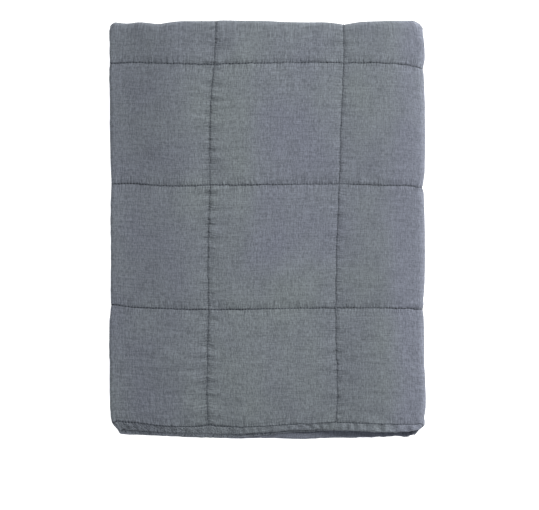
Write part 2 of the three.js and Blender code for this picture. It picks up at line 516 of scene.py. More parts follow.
    def threads(self, u: Field, v: Field) -> tuple[Field, Field]:
        """Find which threads of the cloth lie at a place of the fold, because it isn't folded quite true.

        Args:
            u: Places over the fold's width.
            v: Places over the fold's length.

        Returns:
            The threads' own U and V.
        """
        x = self.across.place(u)[0][:, 0]
        left = smooth_curve(v, self.DRIFT_PLACES, self.LEFT_DRIFTS)
        right = smooth_curve(v, self.DRIFT_PLACES, self.RIGHT_DRIFTS)
        share = ease(u, *self.block_width * np.array([3.0, 4.0]))
        wander_u = self.seam_wander * self.WANDER_U.at(u, v)
        wander_v = self.seam_wander * self.WANDER_V.at(u, v)
        return u - left - (right - left) * share - wander_u, v + self._bow(x, v) - wander_v

    def place_of(self, u: Field, v: Field) -> tuple[Field, Field]:
        """Find where in the fold some threads of the cloth lie, the other way round from threads."""
        return self._place_where(u, v, 1.0, 1.0)

    def _place_where(
        self, u: Field, v: Field, by_seam_u: Field | float, by_seam_v: Field | float
    ) -> tuple[Field, Field]:
        """Find the places that follow the threads by some share, and the fold by the rest.

        Args:
            u: The wanted U.
            v: The wanted V.
            by_seam_u: How much they follow the threads over U, from 0 to 1.
            by_seam_v: How much they follow them over V.

        Returns:
            The places over the fold's width and length.
        """
        at_u, at_v = u.copy(), v.copy()
        for _ in range(4):  # the shifts are small, so this settles at once
            thread_u, thread_v = self.threads(at_u, at_v)
            at_u, at_v = u + by_seam_u * (at_u - thread_u), v + by_seam_v * (at_v - thread_v)
        return at_u, at_v

    def place_of_face(self, u: Field, v: Field) -> tuple[Field, Field]:
        """Find where a corner of a face goes, so that faces follow the seams on top and the folds elsewhere.

        Args:
            u: The corner's place over the width of the slab.
            v: Its place over the length.

        Returns:
            The places over the fold's width and length.
        """
        s, t = self.across.starts, self.along.starts
        by_seam_u = ease(u, s[2] + 8.0, s[2] + 70.0) * fall(u, s[3] - 70.0, s[3] - 8.0)
        return self._place_where(u, v, by_seam_u, fall(v, t[1] - 20.0, t[1] - 2.0))

    def lay(self, u: Field, v: Field, lift: Field) -> Field:
        """Lay points of the slab in the pile as fold does, but by the threads' own places."""
        return self.fold(*self.place_of(u, v), lift)

    def fold(self, u: Field, v: Field, lift: Field) -> Field:
        """Lay points of the slab in the pile, by their places in the fold.

        Args:
            u: Places over the width of the fold.
            v: Places over its length.
            lift: How far each point is from the middle of the cloth, to the face if positive.

        Returns:
            The points in rows, in metres.
        """
        w_point, w_normal = self.across.place(u)
        l_point, l_normal = self.along.place(v)
        x = w_point[:, 0] + lift * w_normal[:, 0]
        from_seam = past_nearest(self.threads(u, v)[1], self.crosswise_seams)
        seam_v = np.abs(from_seam)
        reach = np.where(from_seam > 0, 4.5, 11.0)
        squeeze = 1.0 - self.seam_squeeze * bell(from_seam, reach)
        rise = (w_point[:, 1] + lift * w_normal[:, 1]) * squeeze
        y = l_point[:, 0] + l_normal[:, 0] * rise
        z = l_point[:, 1] + l_normal[:, 1] * rise - self.gap / 2
        y, z = self._squared(y, z)
        z = z * self._height(x, y) + self._hem_level(u, v, x)
        z = np.where((z < self.floor_reach) & (seam_v < 12.0), np.minimum(z, 0.0), z)
        shift_x, shift_y = self._unevenness(x, y, z)
        y = y + shift_y - self._end_hem(u, v, x) + self._wall_line(v, x)
        x = x + shift_x + self._aside(v) + self._drawn_in(u, v, x, y, seam_v)
        return np.stack([x, y, np.maximum(z, 0.0)], axis=-1) * MM

    def _squared(self, y: Field, z: Field) -> tuple[Field, Field]:
        """Make the upper edge of the closed end less round.

        Args:
            y: Places over the pile's length.
            z: Places over its height.

        Returns:
            The same places, further out at the edge.
        """
        radius = self.wall_turn + self.half_strip
        out = np.maximum(y - (self.half_length - radius), 0.0) / radius
        up = np.maximum(z - (3.5 * self.strip_pitch - self.wall_turn), 0.0) / radius
        away = np.hypot(out, up)
        inner = np.maximum(away, 1e-6)
        power = self.back_square
        square = ((out / inner) ** power + (up / inner) ** power + 1e-9) ** (-1 / power)
        grown = np.where((out > 0) & (up > 0), square, 1.0) - 1.0
        return y + grown * out * radius, z + grown * up * radius

    def _hem_level(self, u: Field, v: Field, x: Field) -> Field:
        """Find how far the end hems rise or droop.

        Args:
            u: Places over the width of the fold.
            v: Places over its length.
            x: Places over the pile's width.

        Returns:
            The shift along Z.
        """
        top, second, lower = self._layers(u)
        right, far_right = ease(x, -45.0, 45.0), ease(x, 35.0, 90.0)
        drooping, low_drooping = ease(x, -75.0, 15.0), ease(x, 22.0, 70.0)
        corner = fall(x, -150.0, -105.0)
        # The top hem rises to the right and at its left corner. Those under it droop to the right.
        shift = top * (0.5 * right + 1.0 * far_right + 0.6 * corner - 0.7)
        shift = shift + second * (0.3 - 0.3 * corner - 1.7 * drooping) - lower * (0.6 + 0.9 * low_drooping)
        return shift * fall(v, 2.0, 16.0)

    def _layers(self, u: Field) -> tuple[Field, Field, Field]:
        """Say which layers of a strip places of the cloth are in.

        Args:
            u: Places over the width of the fold.

        Returns:
            How much of each place is in the top layer, in the second one, and in those below.
        """
        s = self.across.starts
        second = fall(u, s[1], s[2] + 4.0)
        lower = ease(u, s[3] + 1.0, (s[3] + s[4]) / 2)
        return 1 - second - lower, second, lower

    def _unevenness(self, x: Field, y: Field, z: Field) -> tuple[Field, Field]:
        """Find how far the sides and ends of the pile stray, because the layers don't lie quite true.

        Args:
            x: Places over the pile's width.
            y: Places over its length.
            z: Places over its height.

        Returns:
            The shifts along X and Y.
        """
        side = ease(np.abs(x), self.half_width - 50.0, self.half_width - 6.0)
        end = ease(np.abs(y), self.half_length - 50.0, self.half_length - 6.0)
        below = fall(z, 36.0, 46.0)
        apart = 900.0  # so that the two sides and the two ends don't stray alike
        shift_x = 0.9 * self.SIDE_STRAY.at(y, z + apart * (x > 0))
        shift_y = 0.8 * self.END_STRAY.at(x, z + apart * (y > 0))
        return side * below * shift_x, end * below * shift_y

    def _height(self, x: Field, y: Field) -> Field:
        """Find how much of the pile's height is left at a place, because it sinks towards its edges.

        Args:
            x: Places over the pile's width.
            y: Places over its length.

        Returns:
            The share of the height at each place.
        """
        left, right, front = x + self.half_width, self.half_width - x, y + self.half_length
        left_part = fall(x, -150.0, -70.0)
        middle = (1 - left_part) * fall(x, 50.0, 110.0)
        droop = 0.2 + 0.8 * middle + 0.4 * left_part
        sinks = (
            self.left_sink * fall(left, 0.0, 88.0),
            self.back_left_sink * ease(y, -30.0, 110.0) * fall(left, 0.0, 66.0),
            self.right_half_sink * ease(x, -30.0, 70.0),
            (self.right_sink - 0.03 * ease(y, -60.0, 40.0)) * fall(right, 0.0, 50.0),
            self.right_edge_sink * near(right, 24.0),
            self.front_sink * fall(front, 0.0, 80.0) * (0.4 + 0.6 * middle),
            self.front_edge_sink * droop * near(front, 26.0),
        )
        rises = self.far_right_rise * ease(x, 70.0, 130.0) + self.back_rise * ease(y, 50.0, 210.0)
        return 1.0 + rises - sum(sinks)

    def _end_hem(self, u: Field, v: Field, x: Field) -> Field:
        """Find how far each layer's end hem stands out from where the section puts it.

        Args:
            u: Places over the width of the fold.
            v: Places over its length.
            x: Places over the pile's width.

        Returns:
            The distance at each place.
        """
        tables = (self.TOP_HEM, self.SECOND_HEM, self.LOWER_HEM)
        rows = zip(self._layers(u), tables, strict=True)
        from_end = sum(share * smooth_curve(x, self.HEM_PLACES, table) for share, table in rows)
        return (self.top_hem_inset - from_end) * fall(v, 0.0, 60.0)

    def _wall_line(self, v: Field, x: Field) -> Field:
        """Find how far the closed end bulges out, by V in the fold and X in the pile."""
        felt = ease(v, 380.0, 424.0) * fall(v, 462.0, 500.0)
        return felt * smooth_curve(x, self.WALL_PLACES, self.WALL_LINE)

    def _aside(self, v: Field) -> Field:
        """Find how far a strip lies to one side.

        Args:
            v: Places over the length of the fold.

        Returns:
            The shift along X.
        """
        s = self.along.starts
        places = [0.0, s[2], s[4], s[5] - 40, (s[5] + s[6]) / 2, s[7] - 40, (s[7] + s[8]) / 2, s[9]]
        return smooth_curve(v, places, (1.0, 0.8, 0.2, 0.0, -0.5, -1.0, -0.5, 0.0))

    def _drawn_in(self, u: Field, v: Field, x: Field, y: Field, seam_v: Field) -> Field:
        """Find how far the sides are drawn in, at the corners, at the seams and along their own line.

        Args:
            u: Places over the width of the fold.
            v: Places over its length.
            x: Places over the pile's width.
            y: Places over its length.
            seam_v: Distance from the nearest crosswise seam.

        Returns:
            The shift along X.
        """
        side = np.sign(x)
        felt = np.clip((side * x - (self.half_width - 74.0)) / 60.0, 0.0, 1.0)
        back, front = self.half_length - y, self.half_length + y
        hidden = ease(v, 440.0, 470.0)
        under = np.maximum(self._layers(u)[2], hidden)
        notch = (0.7 + 0.7 * hidden) * bell(seam_v, 4.5)
        right = smooth_curve(y, self.RIGHT_PLACES, self.RIGHT_LINE) + notch + 0.3 * hidden
        right = right + self.BACK_RIGHT.at(back) + self.FRONT_RIGHT.at(front) * (1 - under)
        right = right + self.UNDER_RIGHT.at(front) * under
        left = smooth_curve(y, self.LEFT_PLACES, self.LEFT_LINE) + (0.4 + 0.6 * hidden) * notch + 1.3 * hidden
        left = left + self.BACK_LEFT.at(back) + self.FRONT_LEFT.at(front) + self.LEFT_TIP.at(front)
        return -side * felt * np.where(side > 0, right, left)


@dataclass(frozen=True)
class Crease:
    """One long crease of the face cloth.

    Attributes:
        start: The threads' own U and V at its start.
        end: Those at its end.
        depth: How deep it is.
        width: Half its width.
    """

    start: tuple[float, float]
    end: tuple[float, float]
    depth: float = 0.3
    width: float = 1.5

    BOW = 0.035  # how far the middle of a crease is bowed, as a share of its length

    def away(self, u: Field, v: Field) -> tuple[Field, Field]:
        """Find how far places are from the crease.

        Args:
            u: The threads' own U.
            v: The threads' own V.

        Returns:
            The distance across it, and how much of its depth is left there, from 0 to 1.
        """
        run_u, run_v = self.end[0] - self.start[0], self.end[1] - self.start[1]
        length = math.hypot(run_u, run_v)
        off_u, off_v = u - self.start[0], v - self.start[1]
        along = (off_u * run_u + off_v * run_v) / length**2
        inside = np.clip(along, 0.0, 1.0)
        bend = self.BOW * length * np.sin(math.pi * inside)
        across = (off_v * run_u - off_u * run_v) / length - bend
        return np.abs(across), np.sqrt(np.sin(math.pi * inside).clip(0, 1))

    def depth_at(self, u: Field, v: Field) -> Field:
        """Find how deep the crease is at some threads' own U and V."""
        across, share = self.away(u, v)
        return self.depth * share * bell(across, self.width)


CREASES = (
    Crease((341.0, 106.5), (400.0, 103.0), 0.5, 1.9),
    Crease((385.0, 101.5), (407.0, 100.0), 0.24, 1.2),
    Crease((320.0, 80.0), (374.0, 74.0), 0.85, 1.9),
    Crease((348.0, 63.0), (428.0, 66.0), 0.9, 1.9),
    Crease((350.0, 64.0), (404.0, 62.5), 0.24, 1.3),
    Crease((411.0, 60.0), (431.0, 57.0), 0.36),
    Crease((411.0, 54.0), (427.0, 52.5), 0.3, 1.4),
    Crease((346.0, 40.5), (420.0, 40.0), 0.9, 1.8),
    Crease((380.0, 37.0), (431.0, 35.5), 0.26, 1.4),
    Crease((354.0, 48.5), (375.0, 47.0), 0.26, 1.3),
    Crease((362.0, 94.0), (377.0, 92.5), 0.26, 1.3),
    Crease((343.0, 109.5), (355.0, 108.5), 0.26, 1.3),
    Crease((396.0, 161.5), (424.0, 160.5), 0.24, 1.4),
    Crease((411.0, 146.5), (426.0, 145.0), 0.22, 1.3),
    Crease((411.0, 199.0), (421.0, 198.5), 0.3, 1.2),
    Crease((388.0, 335.0), (408.0, 336.0), 0.36, 1.6),
    Crease((384.0, 325.5), (408.0, 326.5), 0.32),
    Crease((386.0, 315.0), (408.0, 316.0), 0.32),
    Crease((390.0, 308.5), (408.0, 309.5), 0.28, 1.4),
    Crease((388.0, 296.0), (408.0, 297.0), 0.3),
    Crease((411.0, 352.0), (440.0, 350.0), 0.3),
    Crease((411.0, 342.5), (452.0, 341.0), 0.32),
    Crease((411.0, 334.0), (480.0, 331.0), 0.3),
    Crease((411.0, 326.0), (446.0, 325.0), 0.34),
    Crease((411.0, 319.5), (436.0, 321.5), 0.28),
    Crease((512.0, 357.0), (545.0, 358.5), 0.28),
    Crease((506.0, 350.5), (545.0, 352.0), 0.3),
    Crease((515.0, 341.0), (545.0, 342.5), 0.32),
    Crease((520.0, 331.0), (545.0, 332.0), 0.3),
    Crease((510.0, 321.5), (545.0, 323.5), 0.28),
    Crease((550.0, 362.0), (606.0, 372.0), 0.3),
    Crease((549.0, 352.0), (600.0, 362.0), 0.32),
    Crease((549.0, 342.0), (571.0, 344.0), 0.3),
    Crease((549.0, 310.0), (561.0, 310.5), 0.42),
    Crease((548.0, 159.0), (573.0, 150.0), 0.34),
    Crease((550.0, 151.0), (561.0, 140.0), 0.34),
    Crease((548.0, 43.5), (561.0, 42.0), 0.3, 1.3),
    Crease((548.0, 31.0), (559.0, 29.0), 0.3, 1.3),
    Crease((425.0, 395.0), (427.0, 424.0), 0.26),
    Crease((445.0, 396.0), (444.0, 427.0), 0.26),
    Crease((467.0, 394.0), (470.0, 428.0), 0.3),
    Crease((479.0, 395.0), (477.0, 420.0), 0.26),
    Crease((494.0, 396.0), (496.0, 427.0), 0.28),
    Crease((515.0, 394.0), (513.0, 424.0), 0.26),
    Crease((531.0, 395.0), (533.0, 425.0), 0.28),
    Crease((331.0, 395.0), (333.0, 420.0), 0.24),
    Crease((357.0, 394.0), (355.0, 424.0), 0.26),
    Crease((384.0, 395.0), (386.0, 422.0), 0.26),
    Crease((406.0, 16.5), (437.0, 13.2), 1.0, 1.8),
    Crease((411.0, 20.0), (424.0, 18.0), 0.4, 1.3),
    Crease((391.0, 17.0), (413.0, 17.2), 0.9, 1.8),
    Crease((376.0, 11.0), (412.0, 12.5), 0.7, 8.0),
    Crease((386.0, 24.0), (409.0, 25.0), -0.5, 6.0),
)


@dataclass
class Relief:
    """How the quilted cloth swells and puckers, in millimetres, by the threads' own places."""

    pile: Pile
    block_half: float = 1.6  # half the thickness inside a block
    hem_half: float = 1.25
    hem_width: float = 9.0
    stitch: float = 3.3
    hem_step: float = 2.2  # over which a block thins down to its hem
    hem_roll: float = 1.5  # how far the hem's edge is rounded
    rope_pitch: float = 12.0
    fine_rope_pitch: float = 4.6
    least_half: float = 0.25  # half the thickness in the deepest slit
    covered_dip: float = 0.6  # of a seam that another layer covers
    covered_reach: float = 4.0
    valley: float = 0.8
    back_reach: float = 5.0  # of the valley of a crosswise seam, away from the hem
    back_share: float = 0.65  # the share of a valley's depth on that side
    knot: float = 0.7
    knot_reach: float = 2.4
    slit: float = 0.42
    cross_slit: float = 0.72
    slit_reach: float = 0.8
    crown: float = 0.6
    crown_reach: float = 58.0
    pucker: float = 0.9
    crease: float = 0.6
    tuck_width: float = 0.16

    OUT_OF_REACH = 30.0  # added to a distance so that nothing is felt there
    ROPE_WANDER, ROPE_SIZE = Ripple(31, 26.0, 26.0), Ripple(32, 17.0, 17.0)
    PULL = Ripple(17, 80.0, 42.0)  # how strongly the lengthwise seams are drawn up
    CROSSWISE_FINE, CROSSWISE_BROAD = Ripple(11, 3.0, 15.0), Ripple(12, 6.5, 22.0, 0.2)
    LENGTHWISE_FINE, LENGTHWISE_BROAD = Ripple(13, 22.0, 2.6), Ripple(14, 34.0, 5.2)
    CROSSWISE_TUCKS, LENGTHWISE_TUCKS = Ripple(15, 4.2, 9.0), Ripple(16, 10.0, 4.2)
    LUMPS, PLEATS = Ripple(18, 13.0, 8.0), Ripple(19, 24.0, 4.4, 0.1)
    SOFT_FOLDS = (
        (0.5, Ripple(21, 34.0, 46.0, 0.3)),
        (0.3, Ripple(22, 15.0, 28.0, -0.25)),
        (0.2, Ripple(23, 30.0, 10.0)),
        (0.12, Ripple(24, 6.0, 24.0)),
    )
    BROAD_REACH, FINE_REACH, CROSSWISE_REACH = 15.0, 11.0, 8.0  # of the puckers, from their seams
    LUMP_REACH, PLEAT_REACH = 11.0, 10.0
    CROSSWISE_TUCK_REACH, LENGTHWISE_TUCK_REACH = 4.0, 5.0
    SOFT_MARGIN = 10.0  # along the seams, where the soft folds are weaker
    REACH_PLACES = (341.0, 409.0, 410.0, 477.0, 545.5, 546.5)
    REACHES = (11.0, 11.0, 4.2, 5.0, 5.4, 6.0)  # how far the valley of a lengthwise seam reaches

    def edge(self, u: Field, v: Field) -> Field:
        """Find how far places of the cloth are from its edge."""
        pile = self.pile
        return np.minimum(np.minimum(u, pile.cloth_width - u), np.minimum(v, pile.cloth_length - v))

    def to_seams(self, u: Field, v: Field) -> tuple[Field, Field]:
        """Find how far places of the cloth are from its seams and its hem stitching.

        Args:
            u: The threads' own U.
            v: The threads' own V.

        Returns:
            The distances to the nearest lengthwise and the nearest crosswise one.
        """
        pile = self.pile
        in_hem = self.OUT_OF_REACH * (self.edge(u, v) < self.hem_width)
        across = np.abs(past_nearest(u, pile.lengthwise_seams)) + in_hem
        along = np.abs(past_nearest(v, pile.crosswise_seams)) + in_hem
        across = np.minimum(across, np.abs(np.minimum(u, pile.cloth_width - u) - self.hem_width))
        along = np.minimum(along, np.abs(np.minimum(v, pile.cloth_length - v) - self.hem_width))
        return across, along

    def exposed(self, u: Field, v: Field) -> Field:
        """Find how much of the outside of the pile a place of the face skin is.

        Args:
            u: Places over the fold's width.
            v: Places over the fold's length.

        Returns:
            1 where it lies open and 0 where another layer lies on it.
        """
        w, s = self.pile.across.starts, self.pile.along.starts
        side = ease(u, w[1], w[1] + 3.0) * fall(u, w[4] - 7.0, w[4])
        top = fall(v, s[4] - 4.0, s[4] + 4.0)
        front = ease(v, s[5], s[5] + 5.0) * fall(v, s[6] - 5.0, s[6])
        return side * np.maximum(top, front)

    def lift(self, u: Field, v: Field, skin: Field) -> Field:
        """Find how far the surface lies from the middle of the cloth.

        Args:
            u: The threads' own U.
            v: The threads' own V.
            skin: 1 on the face, -1 on the back and 0 on the middle of the rim.

        Returns:
            The signed distance at each place.
        """
        across, along = self.to_seams(u, v)
        edge = self.edge(u, v)
        shown = self.exposed(*self.pile.place_of(u, v)) * (skin > 0.5)
        covered = self.block_half - self.covered_dip * fade(np.minimum(across, along), self.covered_reach)
        open_ = self.block_half + self.crown * self._crown(across, along) - self._seams(u, v, across, along)
        open_ = open_ + self._puckers(u, v, across, along)
        half = covered * (1 - shown) + np.maximum(open_, self.least_half) * shown
        hem = fall(edge, self.hem_width - self.hem_step, self.hem_width)
        rolled = np.sqrt(np.clip(1 - (1 - edge / self.hem_roll).clip(0, 1) ** 2, 0.16, 1.0))
        ropes = self._ropes(u, v, edge) * ease(edge, 0.0, 2.0) * (0.5 + 0.5 * shown)
        hem_half = self.hem_half * rolled + ropes
        return skin * (half * (1 - hem) + hem_half * hem)

    def _seams(self, u: Field, v: Field, across: Field, along: Field) -> Field:
        """Find how deep the seams have sunk, with a wide valley and a narrow slit at the stitches.

        Args:
            u: The threads' own U.
            v: The threads' own V.
            across: Distances to the nearest lengthwise seam.
            along: Distances to the nearest crosswise seam.

        Returns:
            The depth at each place.
        """
        front_share = 0.2 + 0.3 * ease(v, 130.0, 240.0)
        share = np.where(self._back_of_seam(v), self.back_share, front_share)
        side_reach = smooth_curve(u, self.REACH_PLACES, self.REACHES)
        lengthwise, crosswise = fade(across, side_reach), share * fade(along, self.back_reach)
        depth = 1 - (1 - lengthwise) * (1 - crosswise)
        slits = []
        for away, run, deep in ((across, v, self.slit), (along, u, self.cross_slit)):
            hole = 0.7 + 0.3 * np.cos(run * (2 * math.pi / self.stitch))
            reach = self.slit_reach - 0.15 * ease(u, 480.0, 530.0)
            slits.append(deep * hole * bell(away, reach))
        at_hem = np.abs(self.edge(u, v) - self.hem_width) < 8.0
        knots = self.knot * at_hem * np.exp(-(across**2 + along**2) / self.knot_reach**2)
        return self.valley * depth + np.maximum(*slits) + knots

    def _back_of_seam(self, v: Field) -> Field:
        """Say which places are nearer to the crosswise seam on their hem side than to the next one."""
        return (v / self.pile.block_length) % 1.0 < 0.5

    def _crown(self, across: Field, along: Field) -> Field:
        """Find how far a block swells up, from 0 to 1, by the distances to its seams."""
        return np.sqrt(ease(across, 0.0, self.crown_reach) * ease(along, 0.0, self.crown_reach))

    def _ropes(self, u: Field, v: Field, edge: Field) -> Field:
        """Find the slanting ridges that pull over the hem.

        Args:
            u: The threads' own U.
            v: The threads' own V.
            edge: Distance to the edge of the cloth.

        Returns:
            Their height at each place.
        """
        run = u + v
        wander = 8.0 * self.ROPE_WANDER.at(u, v)
        uneven = 0.85 + 0.5 * self.ROPE_SIZE.at(u, v)
        right = ease(u, 380.0, 520.0) + 1.3 * ease(u, 540.0, 575.0)
        broad = np.sin((run - 0.9 * edge + wander) * (2 * math.pi / self.rope_pitch))
        fine = np.sin((run + 0.8 * edge + 0.7 * wander) * (2 * math.pi / self.fine_rope_pitch))
        return uneven * ((0.45 + 0.25 * right) * broad + (0.42 - 0.12 * right) * fine)

    def _tucks(self, ripple: Field) -> Field:
        """Find the depth, from 0 to 1, of narrow creases that lie where a ripple crosses nought."""
        return bell(ripple, self.tuck_width)

    def _puckers(self, u: Field, v: Field, across: Field, along: Field) -> Field:
        """Find the short wrinkles that the seams draw up, and the creases in the blocks.

        Args:
            u: The threads' own U.
            v: The threads' own V.
            across: Distances to the nearest lengthwise seam.
            along: Distances to the nearest crosswise seam.

        Returns:
            Their height at each place.
        """
        right = ease(u, 450.0, 530.0)
        flat_spot = np.exp(-(((u - 552.0) / 12.0) ** 2) - ((v - 352.0) / 24.0) ** 2)
        drawn = np.minimum(1.1 + 0.5 * self.PULL.at(u, v) - 0.3 * right, 1.3 - 0.35 * right)
        drawn = drawn * (1.3 - 0.25 * ease(u, 405.0, 450.0)) * (1 - 0.55 * flat_spot)
        broad = 1.9 * self.LENGTHWISE_BROAD.at(u, v) * fade(across, self.BROAD_REACH)
        fine = (1.0 - 0.25 * ease(u, 440.0, 500.0)) * self.LENGTHWISE_FINE.at(u, v)
        by_lengthwise = 1.5 * np.tanh(broad / 1.5) + fine * fade(across, self.FINE_REACH)
        by_crosswise = 0.6 * self.CROSSWISE_FINE.at(u, v) + self.CROSSWISE_BROAD.at(u, v)
        back_of_seam = self._back_of_seam(v)
        lumps = (0.25 + 0.3 * back_of_seam) * self.LUMPS.at(u, v)
        pleats = (0.5 + 0.6 * fall(v, 180.0, 240.0)) * back_of_seam * self.PLEATS.at(u, v)
        tucks = self._tucks(self.CROSSWISE_TUCKS.at(u, v)) * fade(along, self.CROSSWISE_TUCK_REACH)
        tucks = tucks + self._tucks(self.LENGTHWISE_TUCKS.at(u, v)) * fade(across, self.LENGTHWISE_TUCK_REACH)
        height = 0.7 * drawn * by_lengthwise + 0.62 * by_crosswise * fade(along, self.CROSSWISE_REACH)
        height = height + lumps * fade(along, self.LUMP_REACH)
        height = height + pleats * fade(along, self.PLEAT_REACH) - 0.5 * tucks
        inside = (1 - fade(along, self.SOFT_MARGIN)) * (1 - fade(across, self.SOFT_MARGIN))
        soft = sum(share * ripple.at(u, v) for share, ripple in self.SOFT_FOLDS) * (0.35 + 0.65 * inside)
        return self.pucker * height + self.crease * soft - sum(c.depth_at(u, v) for c in CREASES)


# ---------------------------------------------------------------------------------------------------
# Shaders.
# ---------------------------------------------------------------------------------------------------


class Value:
    """A number or colour that a shader works out: a socket, with arithmetic on numbers."""

    def __init__(self, shader: Shader, socket: bpy.types.NodeSocket) -> None:
        """Wrap an output socket of a shader."""
        self.shader = shader
        self.socket = socket

    def _math(self, operation: str, first: Value | float, second: Value | float) -> Value:
        """Add a Math node on two values."""
        return self.shader.node("ShaderNodeMath", {"operation": operation}, {0: first, 1: second})

    def __add__(self, other: Value | float) -> Value:
        """Add."""
        return self._math("ADD", self, other)

    def __radd__(self, other: float) -> Value:
        """Add, from the right."""
        return self._math("ADD", other, self)

    def __sub__(self, other: Value | float) -> Value:
        """Subtract."""
        return self._math("SUBTRACT", self, other)

    def __rsub__(self, other: float) -> Value:
        """Subtract, from the right."""
        return self._math("SUBTRACT", other, self)

    def __mul__(self, other: Value | float) -> Value:
        """Multiply."""
        return self._math("MULTIPLY", self, other)

    def size(self) -> Value:
        """Drop the sign."""
        return self._math("ABSOLUTE", self, 0.0)

    def least(self, other: Value | float) -> Value:
        """Take the lesser of two."""
        return self._math("MINIMUM", self, other)

    def most(self, other: Value | float) -> Value:
        """Take the greater of two."""
        return self._math("MAXIMUM", self, other)

    def pingpong(self, reach: float) -> Value:
        """Find the distance from the nearest multiple of twice the reach."""
        return self._math("PINGPONG", self, reach)

    def wave(self, pitch: float) -> Value:
        """Swing from -1 to 1 and back over each pitch."""
        return self._math("SINE", self * (2 * math.pi / pitch), 0.0)

    def rise(self, low: float, high: Value | float) -> Value:
        """Rise smoothly from 0 at low to 1 at high."""
        settings = {"interpolation_type": "SMOOTHSTEP"}
        return self.shader.node("ShaderNodeMapRange", settings, {"Value": self, 1: low, 2: high})

    def fall(self, low: float, high: Value | float) -> Value:
        """Fall smoothly from 1 at low to 0 at high."""
        return 1.0 - self.rise(low, high)


@dataclass(frozen=True)
class Grain:
    """The grain of a noise that is stretched over one axis.

    Attributes:
        cells_u: Its cells in a metre over the first axis.
        cells_v: Those over the second axis.
        detail: How many finer layers it has.
    """

    cells_u: float
    cells_v: float
    detail: float = 2.0


class Shader:
    """A material's nodes."""

    def __init__(self, name: str) -> None:
        """Make an empty material.

        Args:
            name: The material's name.
        """
        self.material = bpy.data.materials.new(name)
        self.material.use_nodes = True
        self.tree = self.material.node_tree
        self.tree.nodes.clear()

    @staticmethod
    def _socket(sockets: Sequence[bpy.types.NodeSocket], key: str | int) -> bpy.types.NodeSocket:
        """Find a socket of a node.

        Args:
            sockets: The node's sockets.
            key: Its place, name or identifier.

        Returns:
            The socket.
        """
        if isinstance(key, int):
            return sockets[key]
        return next(s for s in sockets if key in (s.identifier, s.name))

    def _add(
        self, kind: str, settings: Mapping[str, Any], inputs: Mapping[str | int, Any]
    ) -> bpy.types.Node:
        """Add a node and fill in its settings and inputs.

        Args:
            kind: The node's type.
            settings: What is set on it first.
            inputs: The values or links of its sockets.

        Returns:
            The node.
        """
        made = self.tree.nodes.new(kind)
        for key, setting in settings.items():
            setattr(made, key, setting)
        for key, value in inputs.items():
            socket = self._socket(made.inputs, key)
            if isinstance(value, Value):
                self.tree.links.new(value.socket, socket)
            else:
                socket.default_value = value
        return made

    def node(
        self, kind: str, settings: Mapping[str, Any], inputs: Mapping[str | int, Any], result: str | int = 0
    ) -> Value:
        """Add a node that works something out, and wrap the wanted one of its outputs."""
        return Value(self, self._socket(self._add(kind, settings, inputs).outputs, result))

    def mix(self, factor: Value | float, first: Any, second: Any, blend: str = "MIX") -> Value:
        """Mix two colours.

        Args:
            factor: How much of the second there is.
            first: The first colour.
            second: The second colour.
            blend: How they are mixed.

        Returns:
            The colour.
        """
        settings = {"data_type": "RGBA", "blend_type": blend, "clamp_factor": True}
        inputs = {"Factor_Float": factor, "A_Color": first, "B_Color": second}
        return self.node("ShaderNodeMix", settings, inputs, "Result_Color")

    def noise(self, place: Value, grain: Grain) -> Value:
        """Add a noise around nought.

        Args:
            place: Where it is looked up.
            grain: Its grain.

        Returns:
            The noise, from -0.5 to 0.5.
        """
        scale = (grain.cells_u, grain.cells_v, 1.0)
        vector = self.node("ShaderNodeVectorMath", {"operation": "MULTIPLY"}, {0: place, 1: scale})
        settings = {"noise_dimensions": "2D", "normalize": True}
        inputs = {"Vector": vector, "Scale": 1.0, "Detail": grain.detail}
        return self.node("ShaderNodeTexNoise", settings, inputs) - 0.5

    def finish(self, inputs: Mapping[str, Any]) -> bpy.types.Material:
        """End the shader in a surface.

        Args:
            inputs: The values or links of the surface's sockets.

        Returns:
            The material.
        """
        surface = self.node("ShaderNodeBsdfPrincipled", {}, inputs)
        self._add("ShaderNodeOutputMaterial", {"target": "ALL"}, {"Surface": surface})
        return self.material


@dataclass(frozen=True)
class SeamDistances:
    """How far the seams are from a place of the cloth, in metres.

    Attributes:
        lengthwise: The distance to the nearest lengthwise seam.
        crosswise: The distance to the nearest crosswise seam.
        hem: The distance to the hem stitching.
        inside: 1 inside the hem stitching and 0 outside it.
    """

    lengthwise: Value
    crosswise: Value
    hem: Value
    inside: Value


